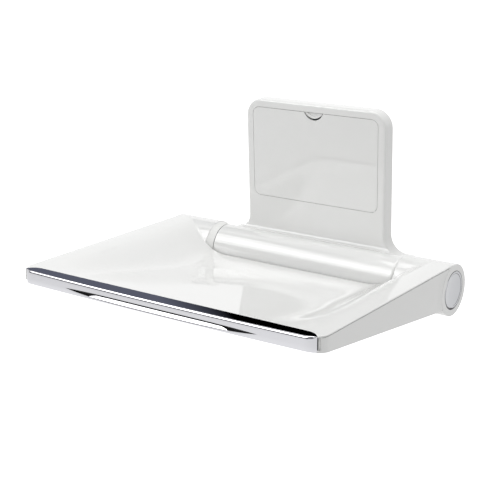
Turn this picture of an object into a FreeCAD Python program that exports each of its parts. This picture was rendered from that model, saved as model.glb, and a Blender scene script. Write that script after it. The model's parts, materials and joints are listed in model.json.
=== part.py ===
import FreeCAD, Part
import math
import os

# Fold down wall seat. Millimetres, +Z up, the wall is the plane y = 0 and the seat reaches towards -Y.
# The origin is the centre of the four wall fixing holes, on the wall.
# Shapes are first drawn about the hinge axis (the X axis) and then moved to their place on the wall.

# Overall sizes
seat_width = 400.0
seat_reach = 299.0
ring_proud = 0.8
rest_tilt = 2.4
fold_angle = 87.6
hinge_to_wall = 36.0
hinge_below_fixings = 128.0

# Seat body
rim_height = 31.0
front_thickness = 16.0
underside_at_hinge = -21.5
skin = 3.0
side_wall = 3.5
edge_band = 2.0
corner_radius = 18.0
front_bow = 3.0
dish_at_hinge = -2.2
dish_flat_end = 85.5
dish_easing = 3.0
dish_crossing = 0.8
floor_side_rear = 102.0
floor_side_front = 38.0
rim_width_rear = 15.0
rim_width_front = 5.0
dish_rows = 19

# Hinge barrel and seat knuckles
barrel_radius = 28.5
barrel_right_end = 135.0
barrel_left_end = 124.5
barrel_end_round = 4.0
shelf_end_inset = 3.0
barrel_wall = 3.0
knuckle_gap = 0.5
knuckle_round = 1.5
collar_gap = 1.0
collar_length = 10.0
collar_small_radius = 28.5
channel_gap = 1.5
end_ring_inner = 23.2
end_ring_round = 0.6

# Upright of the bracket
upright_half_width = 99.25
upright_height = 195.0
upright_depth = 18.0
upright_corner = 22.0
housing_wall = 3.0
flare_radius = 22.5
shelf_height = 20.5
root_fillet = 5.0
front_edge_round = 3.0

# Access cover and its latch
cover_half_width = 89.0
cover_bottom = 71.5
cover_top = 185.0
cover_corner = 9.0
cover_thickness = 2.7
cover_seam = 0.5
ledge_width = 4.0
ledge_thickness = 2.0
notch_half_width = 13.5
notch_depth = 9.3
strike_drop = 3.0
latch_clearance = 0.35
latch_travel = 1.5
latch_face_depth = 0.6
latch_rim = 3.4
latch_dish = 1.4
latch_half_width = 4.0
latch_strike = 1.6
latch_nose = 1.4
latch_play = 2.5
hook_half_spacing = 55.0
hook_half_width = 6.0
hook_stem = 2.0
hook_toe = 1.5
hook_drop = 4.0
hook_bead = 1.2
hook_slot_margin = 1.0
cover_rib_pitch = 30.0
cover_rib_count = 5
cover_rib_width = 1.6
cover_rib_depth = 2.0
cover_rib_low = 16.0
cover_rib_high = 30.0

# Steel wall plate
plate_thickness = 3.0
plate_margin = 1.0
wall_hole_radius = 4.0
wall_hole_half_x = 60.0
wall_hole_half_z = 35.0
pillar_radius = 4.5
pillar_half_x = 80.0
pillar_half_z = 40.0
tab_radius = 7.0
tab_thickness = 2.5
ear_inner = 108.0
ear_thickness = 5.0
ear_radius = 20.0
ear_half_height = 15.0

# Shaft, bushes, stops
shaft_radius = 10.0
bush_radius = 14.0
bush_flange_radius = 18.0
bush_flange = 1.5
running_clearance = 0.2
washer_thickness = 1.5
washer_radius = 17.0
sleeve_radius = 13.0
pass_clearance = 1.3
lever_half_width = 14.0
lever_hub_radius = 14.0
lever_lug_half = 5.0
lever_reach = 24.0
stop_gap = 0.2
stop_pad_thickness = 2.0
stop_pad_length = 6.0
stop_rib_depth = 6.0
key_size = 5.0

# Arms and cross plate in the seat
arm_hub_radius = 24.0
hub_to_wall = 11.0
arm_side_gap = 12.5
arm_bar_width = 16.0
arm_front_gap = 42.0
arm_top_rear = 15.0
arm_top_front = 17.5
arm_web = 4.0
cross_plate_thickness = 2.0
cross_plate_lift = 1.0
cross_plate_rear_gap = 20.0
cross_plate_front_gap = 24.0
cross_hole_radius = 14.0
cross_hole_margin = 10.0
floor_rib_width = 2.0
floor_rib_count = 6
floor_rib_margin = 4.0
cross_hole_columns = 5
cross_hole_rows = 3

# Front trim
trim_depth = 17.0
trim_side_gap = 5.5
trim_end_radius = 19.0
trim_top_round = 3.5
grip_half_length = 128.5
grip_top = 23.2
grip_bottom = 17.0
grip_tip = 21.3
grip_depth = 8.0

# Fasteners
screw_radius = 2.0
screw_head_radius = 3.5
screw_head_height = 1.6
screw_counterbore = 1.5
boss_radius = 4.2
boss_rear_gap = 10.0
boss_front_gap = 14.0
boss_arm_gap = 50.0
boss_inner_half = 45.0
boss_thread = 8.0
arm_thread = 4.0
trim_side_screw_gap = 50.0
trim_inner_screw_half = 60.0
trim_thread = 6.0
trim_screw_head_height = 2.0
end_screw_radius = 4.0
end_screw_head = 6.5
end_screw_head_height = 4.0
end_screw_socket = 2.5
end_screw_length = 22.0
end_washer_thickness = 3.0
cap_recess = 0.6
cap_dish = 1.2
cap_thickness = 2.2
cap_skirt = 4.0
cap_skirt_wall = 1.6

# Worked out from the sizes above
seat_half = seat_width / 2
knuckle_face = barrel_right_end + knuckle_gap
collar_face = barrel_left_end + collar_gap
collar_root = collar_face + collar_length
ring_face = seat_half + ring_proud
shelf_right_end = barrel_right_end - shelf_end_inset
channel_radius = barrel_radius + channel_gap
underside_slope = (rim_height - front_thickness - underside_at_hinge) / seat_reach
trim_rear = seat_reach - trim_depth
upright_front = hinge_to_wall - upright_depth
plate_front = hinge_to_wall - plate_thickness
inner_radius = barrel_radius - barrel_wall
inner_shelf = shelf_height - housing_wall
fixing_height = hinge_below_fixings
dish_slope = (rim_height - dish_at_hinge) / (trim_rear - dish_flat_end)
floor_half_rear = seat_half - floor_side_rear
floor_half_front = seat_half - floor_side_front
blend_end_rear = seat_half - rim_width_rear
blend_end_front = seat_half - rim_width_front
wall_inner = seat_half - side_wall
arm_outer = wall_inner - arm_side_gap
arm_hub_inner = knuckle_face + side_wall + hub_to_wall
arm_reach = trim_rear - arm_front_gap
bar_inner = arm_outer - arm_bar_width
bar_seat_lift = skin + cross_plate_lift + cross_plate_thickness
arm_screw_x = (bar_inner + arm_outer) / 2
cross_plate_rear = channel_radius + cross_plate_rear_gap
cross_plate_front = trim_rear - cross_plate_front_gap
trim_end = seat_half - trim_side_gap
boss_rows = (channel_radius + boss_rear_gap, trim_rear - boss_front_gap)
boss_outer_half = bar_inner - boss_arm_gap
boss_columns = (-boss_outer_half, -boss_inner_half, boss_inner_half, boss_outer_half)
trim_outer_screw_half = seat_half - trim_side_screw_gap
trim_screw_columns = (-trim_outer_screw_half, -trim_inner_screw_half,
                      trim_inner_screw_half, trim_outer_screw_half)
far = 2 * seat_width

V = FreeCAD.Vector
X_AXIS = V(1, 0, 0)
Y_AXIS = V(0, 1, 0)
Z_AXIS = V(0, 0, 1)


# Small drawing helpers
def box(x0, x1, y0, y1, z0, z1):
    return Part.makeBox(x1 - x0, y1 - y0, z1 - z0, V(x0, y0, z0))


def rod_x(radius, x0, x1, y=0.0, z=0.0):
    return Part.makeCylinder(radius, x1 - x0, V(x0, y, z), X_AXIS)


def rod_y(radius, x, z, y0, y1):
    return Part.makeCylinder(radius, y1 - y0, V(x, y0, z), Y_AXIS)


def rod_z(radius, x, y, z0, z1):
    return Part.makeCylinder(radius, z1 - z0, V(x, y, z0), Z_AXIS)


def ring_x(outer, inner, x0, x1):
    return rod_x(outer, x0, x1).cut(rod_x(inner, x0 - 1, x1 + 1))


def loop(*pieces):
    """Closed face from points: two points make a line, three make an arc through the middle one."""
    edges = []
    for piece in pieces:
        if len(piece) == 2:
            edges.append(Part.makeLine(*piece))
        else:
            edges.append(Part.Arc(*piece).toShape())
    return Part.Face(Part.Wire(edges))


def side_slab(points, x0, x1):
    """Prism along X from a polygon of (forward, up) points."""
    corners = [V(x0, -forward, up) for forward, up in points]
    corners.append(corners[0])
    return Part.Face(Part.makePolygon(corners)).extrude(V(x1 - x0, 0, 0))


def end_circles(shape, x):
    """Edges of a turned piece that lie in the plane across the axis at x."""
    return [e for e in shape.Edges if all(abs(v.X - x) < 0.01 for v in e.Vertexes) and e.Closed]


def mirrored(shape):
    return shape.mirror(V(0, 0, 0), X_AXIS)


def fused(shapes):
    return shapes[0].multiFuse(shapes[1:])


def joined(shapes):
    """Fused, with faces that continue each other made one."""
    return fused(shapes).removeSplitter()


def group(shapes):
    return Part.makeCompound(shapes)


# Outline of the bracket seen from the front, shrunk by an offset for the parts inside it
def bracket_outline(offset, y0, y1, bottom):
    half = upright_half_width - offset
    top = upright_height - offset
    corner = upright_corner - offset
    flare = flare_radius + offset
    shelf = shelf_height - offset
    left = barrel_left_end - offset
    right = shelf_right_end - offset
    bulge = corner * (1 - math.sqrt(0.5))
    hollow = flare * (1 - math.sqrt(0.5))

    def at(x, z):
        return V(x, y0, z)

    face = loop(
        (at(-left, bottom), at(-left, shelf)),
        (at(-left, shelf), at(-half - flare, shelf)),
        (at(-half - flare, shelf), at(-half - hollow, shelf + hollow), at(-half, shelf + flare)),
        (at(-half, shelf + flare), at(-half, top - corner)),
        (at(-half, top - corner), at(-half + bulge, top - bulge), at(-half + corner, top)),
        (at(-half + corner, top), at(half - corner, top)),
        (at(half - corner, top), at(half - bulge, top - bulge), at(half, top - corner)),
        (at(half, top - corner), at(half, shelf + flare)),
        (at(half, shelf + flare), at(half + hollow, shelf + hollow), at(half + flare, shelf)),
        (at(half + flare, shelf), at(right, shelf)),
        (at(right, shelf), at(right, bottom)),
        (at(right, bottom), at(-left, bottom)))
    return face.extrude(V(0, y1 - y0, 0))


def rounded_panel(grow, y0, y1):
    """The access cover's rounded rectangle, grown or shrunk all round."""
    half = cover_half_width + grow
    low = cover_bottom - grow
    high = cover_top + grow
    corner = cover_corner + grow
    panel = box(-half, half, y0, y1, low, high)
    upright_edges = [e for e in panel.Edges if abs(e.Vertexes[0].Y - e.Vertexes[1].Y) > (y1 - y0) / 2]
    return panel.makeFillet(corner, upright_edges)


def root_fillet_wedge():
    """Concave fillet between the upright's front and the top of the barrel."""
    centre_y = upright_front - root_fillet
    centre_z = math.sqrt((barrel_radius + root_fillet) ** 2 - centre_y ** 2)
    share = barrel_radius / (barrel_radius + root_fillet)
    touch = V(0, centre_y * share, centre_z * share)
    start = V(0, upright_front, centre_z)
    inward = (start + touch) * 0.5 - V(0, centre_y, centre_z)
    middle = V(0, centre_y, centre_z) + inward.normalize() * root_fillet
    low = V(0, upright_front + housing_wall / 2, 0)
    back = V(0, upright_front + housing_wall / 2, centre_z)
    face = loop((start, middle, touch), (touch, V(0, 0, 0)), (V(0, 0, 0), low), (low, back), (back, start))
    wedge = face.extrude(V(barrel_left_end + shelf_right_end, 0, 0))
    wedge.translate(V(-barrel_left_end, 0, 0))
    return wedge


# Fixed parts
def make_housing():
    upright = bracket_outline(0, upright_front, hinge_to_wall, -shelf_height)
    front_edges = [e for e in upright.Edges if all(abs(v.Y - upright_front) < 0.01 for v in e.Vertexes)]
    upright = upright.makeFillet(front_edge_round, front_edges)
    wedge = root_fillet_wedge().common(bracket_outline(0, -far, far, -shelf_height))
    barrel = rod_x(barrel_radius, -barrel_left_end, barrel_right_end)
    barrel = barrel.makeFillet(barrel_end_round, end_circles(barrel, barrel_right_end))
    base = box(-barrel_left_end, shelf_right_end, 0, hinge_to_wall, -shelf_height, shelf_height)
    outer = joined([upright, wedge, barrel, base])

    left = housing_wall - barrel_left_end
    right = barrel_right_end - housing_wall
    hollow = joined([
        bracket_outline(housing_wall, upright_front + housing_wall, hinge_to_wall + 1, -inner_shelf),
        rod_x(inner_radius, left, right),
        box(left, shelf_right_end - housing_wall, 0, hinge_to_wall + 1, -inner_shelf, inner_shelf)])
    shell = outer.cut(hollow).fuse(fold_stop_rib())

    window = rounded_panel(cover_seam, upright_front - 1, upright_front + housing_wall + 1)
    shell = shell.cut(window)
    ledge_front = upright_front + housing_wall
    ledge_back = ledge_front + ledge_thickness
    ledge = rounded_panel(ledge_width, ledge_front, ledge_back)
    ledge = ledge.cut(rounded_panel(-ledge_width, ledge_front - 1, ledge_back + 1))
    tabs = []
    for x, z in pillar_places():
        tabs.append(rod_y(tab_radius, x, z, ledge_back, ledge_back + tab_thickness))
    shell = joined([shell, ledge] + tabs)
    for x, z in pillar_places():
        shell = shell.cut(rod_y(screw_radius + running_clearance, x, z, ledge_front, plate_front))
    slot_half = hook_half_width + hook_slot_margin
    for side in (-1, 1):
        slot = box(-slot_half, slot_half, ledge_front - 1, ledge_back + 1,
                   hook_low() - hook_slot_margin, hook_low() + hook_stem + hook_slot_margin)
        slot.translate(V(side * hook_half_spacing, 0, 0))
        shell = shell.cut(slot)
    strike_half = latch_half_width + hook_slot_margin
    strike = box(-strike_half, strike_half, ledge_front - 1, ledge_back + 1,
                 cover_top - notch_depth - strike_drop, cover_top - latch_strike + running_clearance)
    shell = shell.cut(strike)
    return shell.cut(rod_x(sleeve_radius + pass_clearance, -far, far))


def hook_low():
    """Lower face of the cover's hook stems, level with the ledge's inner edge at their top."""
    return cover_bottom + ledge_width - hook_stem


def pillar_places():
    places = []
    for x in (-pillar_half_x, pillar_half_x):
        for z in (-pillar_half_z, pillar_half_z):
            places.append((x, fixing_height + z))
    return places


def wall_hole_places():
    places = []
    for x in (-wall_hole_half_x, wall_hole_half_x):
        for z in (-wall_hole_half_z, wall_hole_half_z):
            places.append((x, fixing_height + z))
    return places


def make_wall_plate():
    margin = housing_wall + plate_margin
    plate = bracket_outline(margin, plate_front, hinge_to_wall, -shelf_height + margin)
    ear = rod_x(ear_radius, ear_inner, ear_inner + ear_thickness)
    ear = ear.fuse(box(ear_inner, ear_inner + ear_thickness, 0, plate_front, -ear_half_height, ear_half_height))
    lug_back = lever_reach - stop_pad_length + stop_gap
    block_low = lever_lug_half + stop_gap + stop_pad_thickness
    block = box(-lever_half_width, lever_half_width, lug_back, plate_front, block_low, inner_shelf - stop_gap)
    pillars = []
    for x, z in pillar_places():
        pillars.append(rod_y(pillar_radius, x, z, tab_back(), plate_front))
    plate = joined([plate, ear, mirrored(ear), block] + pillars)
    plate = plate.cut(rod_x(bush_radius, -far, far))
    for x, z in wall_hole_places():
        plate = plate.cut(rod_y(wall_hole_radius, x, z, plate_front - 1, hinge_to_wall + 1))
    for x, z in pillar_places():
        plate = plate.cut(rod_y(screw_radius, x, z, tab_back() - 1, hinge_to_wall - 1))
    return plate


def tab_back():
    return upright_front + housing_wall + ledge_thickness + tab_thickness


def fold_stop_rib():
    """Rib inside the barrel that the lever's lug meets when the seat is folded up."""
    back = stop_gap / 2 - lever_lug_half
    low = box(-lever_half_width, lever_half_width, back - stop_rib_depth, back,
              -barrel_radius, -lever_hub_radius - stop_gap - 1)
    return low.common(rod_x(inner_radius + 1, -lever_half_width, lever_half_width))


def make_housing_screws():
    screws = []
    head_back = upright_front + housing_wall + ledge_thickness
    for x, z in pillar_places():
        head = rod_y(screw_head_radius, x, z, head_back - screw_head_height, head_back)
        shank = rod_y(screw_radius, x, z, head_back, hinge_to_wall - 1)
        screws.append(head.fuse(shank).removeSplitter())
    return group(screws)


def make_bush():
    sleeve = rod_x(bush_radius, ear_inner, ear_inner + ear_thickness)
    flange = rod_x(bush_flange_radius, ear_inner - bush_flange, ear_inner)
    bush = sleeve.fuse(flange).removeSplitter()
    return bush.cut(rod_x(shaft_radius + running_clearance, 0, far))


def make_stop_pad():
    start = lever_reach - stop_pad_length + stop_gap
    low = lever_lug_half + stop_gap
    return box(-lever_half_width, lever_half_width, start, start + stop_pad_length, low, low + stop_pad_thickness)


# Access cover and latch
def notch_radius():
    return (notch_half_width ** 2 + notch_depth ** 2) / (2 * notch_depth)


def half_moon(shrink, y0, y1):
    """Disc below the cover's top edge, cut off level, for the finger notch and what fills it."""
    radius = notch_radius()
    centre_z = cover_top - notch_depth + radius
    disc = rod_y(radius - shrink, 0, centre_z, y0, y1)
    return disc.common(box(-far, far, y0, y1, -far, cover_top - shrink))


def make_cover():
    back = upright_front + cover_thickness
    cover = rounded_panel(0, upright_front, back)
    cover = cover.cut(half_moon(0, upright_front - 1, back + 1))
    hooks = []
    low = hook_low()
    foot = upright_front + housing_wall + ledge_thickness + running_clearance
    for side in (-1, 1):
        x0 = side * hook_half_spacing - hook_half_width
        x1 = side * hook_half_spacing + hook_half_width
        stem = box(x0, x1, back, foot + hook_toe, low, low + hook_stem)
        toe = box(x0, x1, foot, foot + hook_toe, low - hook_drop, low + hook_stem)
        bead = rod_x(hook_bead, x0, x1, (back + foot) / 2, low + hook_stem / 2)
        hooks.append(joined([stem, toe, bead]))
    cover = joined([cover] + hooks)
    ribs = []
    for index in range(cover_rib_count):
        x = (index - (cover_rib_count - 1) / 2) * cover_rib_pitch
        ribs.append(box(x - cover_rib_width / 2, x + cover_rib_width / 2, back, back + cover_rib_depth,
                        cover_bottom + cover_rib_low, cover_top - cover_rib_high))
    return joined([cover] + ribs)


def make_latch():
    """Half-moon catch in the notch: pulled down against its spring it frees its nose from the ledge."""
    back = upright_front + cover_thickness
    face = upright_front + latch_face_depth
    lift = latch_travel + latch_clearance
    pad = half_moon(latch_clearance, face, back)
    pad.translate(V(0, 0, lift))
    pad = pad.common(box(-far, far, face, back, -far, cover_top - latch_clearance))
    radius = notch_radius()
    dish = rod_y(radius - latch_rim, 0, cover_top - notch_depth + radius + lift, face - 1, face + latch_dish)
    pad = pad.cut(dish)
    root = cover_top - notch_depth + lift + 1
    nose_front = upright_front + housing_wall + ledge_thickness + latch_play
    stem = box(-latch_half_width, latch_half_width, back - 1, nose_front, root, cover_top - latch_strike)
    nose = box(-latch_half_width, latch_half_width, nose_front, nose_front + latch_nose, root,
               cover_top - latch_clearance)
    return joined([pad, stem, nose])


# Seat body, drawn level: forward is -Y, up is +Z, before it is tilted to its rest angle
def underside(forward):
    return underside_at_hinge + underside_slope * forward


def dish_floor(forward):
    """Height of the middle of the dish: a slope down from the front trim that eases out level."""
    above = rim_height - dish_at_hinge - dish_slope * (trim_rear - forward)
    return dish_at_hinge + (above + math.sqrt(above ** 2 + dish_easing ** 2)) / 2


def ease(t):
    t = min(max(t, 0.0), 1.0)
    return t * t * (3 - 2 * t)


def blend_limits(forward):
    """Where the dish floor ends and where its side blend reaches the rim, at a distance forward."""
    share = (forward - barrel_radius) / (trim_rear - barrel_radius)
    widen = ease((share - 0.25) / 0.5)
    start = floor_half_rear + (floor_half_front - floor_half_rear) * widen
    end = blend_end_rear + (blend_end_front - blend_end_rear) * min(max(share, 0.0), 1.0)
    return start, end


def dish_height(x, forward):
    """Height of the sitting surface at a point."""
    start, end = blend_limits(forward)
    floor = dish_floor(forward)
    return floor + (rim_height - floor) * ease((abs(x) - start) / (end - start))


def dish_row(forward, drop):
    """Points of the sitting surface across the seat, running on a little above the rim."""
    start, end = blend_limits(forward)
    floor = dish_floor(forward) - drop
    rise = rim_height + dish_crossing - drop - floor
    half = [(start * share, floor) for share in (0.25, 0.5, 0.75)]
    for step in range(9):
        half.append((start + (end - start) * step / 8, floor + rise * ease(step / 8)))
    half.append((end + rim_width_rear, floor + rise + dish_crossing))
    points = [V(-x, -forward, z) for x, z in reversed(half)]
    points.append(V(0, -forward, floor))
    points += [V(x, -forward, z) for x, z in half]
    return points


def dish_space(drop):
    """Everything above the sitting surface, lowered by drop for the underside of the skin."""
    rear = -channel_radius
    front = trim_rear + trim_end_radius
    rows = []
    for index in range(dish_rows):
        rows.append(dish_row(rear + (front - rear) * index / (dish_rows - 1), drop))
    surface = Part.BSplineSurface()
    surface.interpolate(rows)
    return surface.toShape().extrude(V(0, 0, 2 * rim_height))


def seat_plan(inset, low, high):
    """Seat outline seen from above: bowed front with rounded corners, open behind the hinge."""
    half = seat_half - inset
    front = seat_reach - inset
    corner = corner_radius - inset
    side_front = front - front_bow
    turn = corner * (1 - math.sqrt(0.5))

    def at(x, forward):
        return V(x, -forward, low)

    rear = -2 * rim_height
    face = loop(
        (at(-half, rear), at(-half, side_front - corner)),
        (at(-half, side_front - corner), at(-half + turn, side_front - turn), at(-half + corner, side_front)),
        (at(-half + corner, side_front), at(0, front), at(half - corner, side_front)),
        (at(half - corner, side_front), at(half - turn, side_front - turn), at(half, side_front - corner)),
        (at(half, side_front - corner), at(half, rear)),
        (at(half, rear), at(-half, rear)))
    return face.extrude(V(0, 0, high - low))


def seat_blank():
    """The whole seat as one block: dished wedge and knuckles, cleared round the barrel."""
    front_low = underside(seat_reach)
    wedge = side_slab([(0, rim_height), (seat_reach, rim_height), (seat_reach, front_low),
                       (0, underside_at_hinge)], -seat_half, seat_half)
    wedge = wedge.common(seat_plan(0, -far, far)).cut(dish_space(0))
    block = fused([wedge, end_knuckle(knuckle_face, knuckle_round),
                   mirrored(end_knuckle(collar_root, 0)), collar()])
    gap = rod_x(channel_radius, -collar_face, knuckle_face)
    behind = box(-collar_face, knuckle_face, 0, far, -far, far)
    return block.cut(gap).cut(behind)


def end_knuckle(inner_face, inner_round):
    """Knuckle with its end ring, which stands a little proud of the side panel."""
    knuckle = rod_x(rim_height, inner_face, ring_face)
    knuckle = knuckle.makeFillet(end_ring_round, end_circles(knuckle, ring_face))
    if inner_round:
        knuckle = knuckle.makeFillet(inner_round, end_circles(knuckle, inner_face))
    return knuckle


def collar():
    """Tapered collar of the left knuckle, which narrows to the barrel's end."""
    return Part.makeCone(rim_height, collar_small_radius, collar_length, V(-collar_root, 0, 0), X_AXIS)


def seat_hollow():
    """The space inside the seat, between the skin, the floor and the walls."""
    front = trim_rear - skin
    space = side_slab([(0, rim_height + 1), (front, rim_height + 1), (front, underside(front) + skin),
                       (0, underside_at_hinge + skin)], -wall_inner, wall_inner)
    space = space.cut(dish_space(skin))
    space = space.cut(box(-far, far, -far, far, rim_height - skin, far))
    left = -collar_face - side_wall
    right = knuckle_face + side_wall
    space = space.cut(rod_x(channel_radius + skin, left, right))
    space = space.cut(box(left, right, -channel_gap, far, -far, far))
    knuckle_bore = rim_height - side_wall
    return fused([space, rod_x(knuckle_bore, right, wall_inner), rod_x(knuckle_bore, -wall_inner, -collar_root),
                  rod_x(collar_small_radius - skin, -collar_root, left)])


def side_panel_space():
    """Where the base's side walls and end rings stand, which the top shell leaves free."""
    panel = side_slab([(0, rim_height - edge_band), (far, rim_height - edge_band), (far, -far), (0, -far)],
                      wall_inner, far)
    ring = rod_x(rim_height + 1, wall_inner, far)
    return panel.fuse(ring).removeSplitter()


def base_floor_space():
    """Where the base's floor and lower knuckle halves lie."""
    split = rim_height * 0.4
    return side_slab([(-far, 0), (split, 0), (split, underside(split) + skin),
                      (far, underside(far) + skin), (far, -far), (-far, -far)], -far, far)


def trim_space(grow):
    """Outline of the chrome trim from above, through the whole height."""
    end = trim_end + grow
    rear = trim_rear - grow
    bend = trim_end_radius
    drop = bend * (1 - math.cos(math.radians(60)))
    run = bend * math.sin(math.radians(60))
    mid_drop = bend * (1 - math.cos(math.radians(30)))
    mid_run = bend * math.sin(math.radians(30))

    def at(x, forward):
        return V(x, -forward, -far)

    far_front = seat_reach + bend
    face = loop(
        (at(-end, far_front), at(-end, rear + drop)),
        (at(-end, rear + drop), at(-end + run - mid_run, rear + mid_drop), at(-end + run, rear)),
        (at(-end + run, rear), at(end - run, rear)),
        (at(end - run, rear), at(end - run + mid_run, rear + mid_drop), at(end, rear + drop)),
        (at(end, rear + drop), at(end, far_front)),
        (at(end, far_front), at(-end, far_front)))
    return face.extrude(V(0, 0, 2 * far))


def boss_places():
    return [(x, row) for row in boss_rows for x in boss_columns]


def make_seat_shells():
    """Top shell and base tray, from one hollow block parted along the edge band."""
    block = seat_blank()
    shell = block.cut(seat_hollow()).cut(trim_space(0))
    sides = side_panel_space()
    top = shell.cut(sides).cut(mirrored(sides)).cut(base_floor_space())
    base = shell.cut(top)

    bosses = []
    for x, forward in boss_places():
        low = underside(forward) + skin + boss_radius * underside_slope
        bosses.append(rod_z(boss_radius, x, -forward, low, dish_height(x, forward) - skin / 2))
    top = fused([top] + bosses)
    for x, forward in boss_places():
        top = top.cut(rod_z(screw_radius, x, -forward, -far, dish_floor(forward) - skin))
        base = base.cut(rod_z(screw_radius + running_clearance, x, -forward, -far, far))
        head_top = underside(forward) + screw_counterbore
        base = base.cut(rod_z(screw_head_radius + running_clearance, x, -forward, -far, head_top))
    for x in trim_screw_columns:
        top = top.cut(rod_y(screw_radius + running_clearance, x, trim_screw_height(),
                            -trim_rear, -trim_rear + 2 * skin))

    hole = rod_x(end_ring_inner, wall_inner - 1, far)
    pass_hole = rod_x(sleeve_radius + pass_clearance, -wall_inner, wall_inner)
    for cutter in (hole, mirrored(hole), pass_hole):
        top = top.cut(cutter)
        base = base.cut(cutter)
    return top, base


def trim_screw_height():
    return (rim_height + underside(trim_rear)) / 2


def make_trim():
    bar = seat_blank().common(trim_space(0))
    front_edges = []
    for edge in bar.Edges:
        middle = edge.valueAt((edge.FirstParameter + edge.LastParameter) / 2)
        outer = -middle.y > seat_reach - front_bow - corner_radius * 0.4
        level = all(abs(v.Z - rim_height) < 0.01 for v in edge.Vertexes)
        if outer and level:
            front_edges.append(edge)
    bar = bar.makeFillet(trim_top_round, front_edges)

    def at(x, up):
        return V(x, -seat_reach - 5, up)

    tips = (at(-grip_half_length, grip_tip), at(grip_half_length, grip_tip))
    lens = loop((tips[0], at(0, grip_top), tips[1]), (tips[1], at(0, grip_bottom), tips[0]))
    recess = lens.extrude(V(0, grip_depth + 5, 0))
    bar = bar.cut(recess)
    for x in trim_screw_columns:
        bar = bar.cut(rod_y(screw_radius, x, trim_screw_height(), -trim_rear - trim_thread, -trim_rear + 1))
    return bar


def make_arm():
    low_rear = underside(cross_plate_rear) + bar_seat_lift
    low_front = underside(arm_reach) + bar_seat_lift
    hub = rod_x(arm_hub_radius, arm_hub_inner, arm_outer)
    bar = side_slab([(0, arm_top_rear), (arm_reach, arm_top_front), (arm_reach, low_front),
                     (cross_plate_rear, low_rear), (0, low_rear - 2)], bar_inner, arm_outer)
    arm = joined([hub, bar])
    pocket_rear = cross_plate_rear + 2 * arm_web
    pocket_front = arm_reach * 0.75
    pocket = side_slab([(pocket_rear, arm_top_rear - arm_web), (pocket_front, arm_top_front - arm_web),
                        (pocket_front, underside(pocket_front) + bar_seat_lift + arm_web),
                        (pocket_rear, low_rear + arm_web)], bar_inner + arm_web, far)
    arm = arm.cut(pocket)
    arm = arm.cut(rod_x(shaft_radius, 0, far))
    for forward in arm_screw_places():
        depth = arm_screw_seat(forward) + cross_plate_thickness + arm_thread + running_clearance
        arm = arm.cut(rod_z(screw_radius, arm_screw_x, -forward, -far, depth))
    return arm.cut(key_block(arm_hub_inner + 3, arm_outer - 3))


def arm_screw_places():
    span = arm_reach - cross_plate_rear
    return [cross_plate_rear + span * share for share in (0.1, 0.5, 0.9)]


def arm_screw_seat(forward):
    """Level of the counterbore under each arm screw's head."""
    return underside(forward) + skin + cross_plate_lift + cross_plate_thickness / 2


def key_block(x0, x1):
    half = key_size / 2
    return box(x0, x1, -half, half, shaft_radius - half, shaft_radius + half)


def make_keys():
    arm_key = key_block(arm_hub_inner + 3, arm_outer - 3)
    lever_key = key_block(-lever_half_width + 3, lever_half_width - 3)
    return arm_key, lever_key


def make_cross_plate():
    lift = skin + cross_plate_lift
    rear, front = cross_plate_rear, cross_plate_front
    plate = side_slab([(rear, underside(rear) + lift), (front, underside(front) + lift),
                       (front, underside(front) + bar_seat_lift), (rear, underside(rear) + bar_seat_lift)],
                      -arm_outer, arm_outer)
    pitch_x = 2 * (bar_inner - cross_hole_radius - cross_hole_margin) / (cross_hole_columns - 1)
    pitch_y = (front - rear) / cross_hole_rows
    for column in range(cross_hole_columns):
        for row in range(cross_hole_rows):
            x = (column - (cross_hole_columns - 1) / 2) * pitch_x
            forward = rear + (row + 0.5) * pitch_y
            plate = plate.cut(rod_z(cross_hole_radius, x, -forward, -far, far))
    for side in (-1, 1):
        for forward in arm_screw_places():
            x = side * arm_screw_x
            plate = plate.cut(rod_z(screw_radius + running_clearance, x, -forward, -far, far))
            plate = plate.cut(rod_z(screw_head_radius + running_clearance, x, -forward,
                                    -far, arm_screw_seat(forward)))
    return plate


def base_ribs():
    """Low ribs on the tray's floor that carry the cross plate."""
    ribs = []
    rear = cross_plate_rear + floor_rib_margin
    front = cross_plate_front - floor_rib_margin
    root = skin / 2
    top = skin + cross_plate_lift
    for step in range(floor_rib_count):
        x = -bar_inner + 2 * bar_inner * step / (floor_rib_count - 1)
        ribs.append(side_slab([(rear, underside(rear) + root), (front, underside(front) + root),
                               (front, underside(front) + top), (rear, underside(rear) + top)],
                              x - floor_rib_width / 2, x + floor_rib_width / 2))
    return ribs


def make_shaft():
    half = arm_outer - stop_gap
    shaft = rod_x(shaft_radius, -half, half)
    arm_key, lever_key = make_keys()
    shaft = shaft.cut(arm_key).cut(mirrored(arm_key)).cut(lever_key)
    bore = rod_x(end_screw_radius, half - end_screw_length, far)
    return shaft.cut(bore).cut(mirrored(bore))


def make_lever():
    """Stop lever keyed to the shaft: at rest its lug points level at the wall."""
    hub = rod_x(lever_hub_radius, -lever_half_width, lever_half_width)
    lug = box(-lever_half_width, lever_half_width, 0, lever_reach, -lever_lug_half, lever_lug_half)
    lug.rotate(V(0, 0, 0), X_AXIS, rest_tilt)
    lever = joined([hub, lug])
    lever_key = make_keys()[1]
    return lever.cut(rod_x(shaft_radius, -far, far)).cut(lever_key)


def make_sleeve():
    start = ear_inner + ear_thickness + washer_thickness
    return ring_x(sleeve_radius, shaft_radius, start, arm_hub_inner)


def make_friction_washer():
    start = ear_inner + ear_thickness
    return ring_x(washer_radius, shaft_radius + running_clearance, start, start + washer_thickness)


def make_end_washer():
    return ring_x(washer_radius, end_screw_radius, arm_outer, arm_outer + end_washer_thickness)


def make_end_screw():
    start = arm_outer + end_washer_thickness
    shank = rod_x(end_screw_radius, start - end_screw_length, start)
    head_face = start + end_screw_head_height
    head = rod_x(end_screw_head, start, head_face)
    socket = rod_x(end_screw_head / 2, head_face - end_screw_socket, head_face + 1)
    return shank.fuse(head).removeSplitter().cut(socket)


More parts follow.
